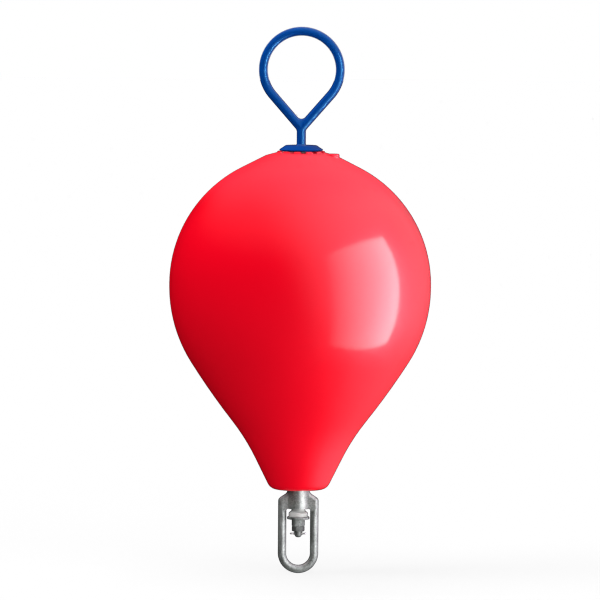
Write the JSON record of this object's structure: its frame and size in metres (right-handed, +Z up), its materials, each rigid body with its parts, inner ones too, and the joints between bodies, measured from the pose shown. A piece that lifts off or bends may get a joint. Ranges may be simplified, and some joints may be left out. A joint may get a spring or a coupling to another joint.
{
  "type": "mooring buoy",
  "caption": "Teardrop-shaped inflatable mooring buoy with a coated pick-up ring on top, a through rod and a swivel link below.",
  "frame": {"origin": "on the float's axis at its widest circle, about where the water comes to under load", "axes": "+Z up along the rod, out of the pick-up ring; +X in the plane of the ring"},
  "size_m": [0.52, 0.5198, 1.0889],
  "materials": {
    "float_vinyl": "glossy red inflated vinyl",
    "valve_plastic": "moulded screw plug",
    "ring_coating": "blue nylon coating over galvanised steel",
    "galvanised_rod": "hot-dip galvanised, dull grey",
    "galvanised_forging": "hot-dip galvanised forging, satin grey",
    "bushing_nylon": "pale grey nylon",
    "pin_steel": "zinc-plated wire"
  },
  "bodies": {
    "float": {"float_shell": "float_vinyl", "valve_plug": "valve_plastic"},
    "iron": {"pickup_ring": "ring_coating", "top_flange": "ring_coating", "centre_rod": "galvanised_rod", "swivel_bushing": "bushing_nylon", "flat_washer": "galvanised_rod", "hex_nut": "galvanised_rod", "lock_nut": "galvanised_rod", "split_pin": "pin_steel"},
    "link": {"swivel_link": "galvanised_forging"}
  },
  "joints": [
    {"name": "iron_turn", "type": "hinge", "parent": "float", "child": "iron", "pos_m": [0, 0, 0], "axis": [0, 0, 1], "continuous": true},
    {"name": "link_swivel", "type": "hinge", "parent": "iron", "child": "link", "pos_m": [0, 0, -0.43], "axis": [0, 0, 1], "continuous": true}
  ]
}
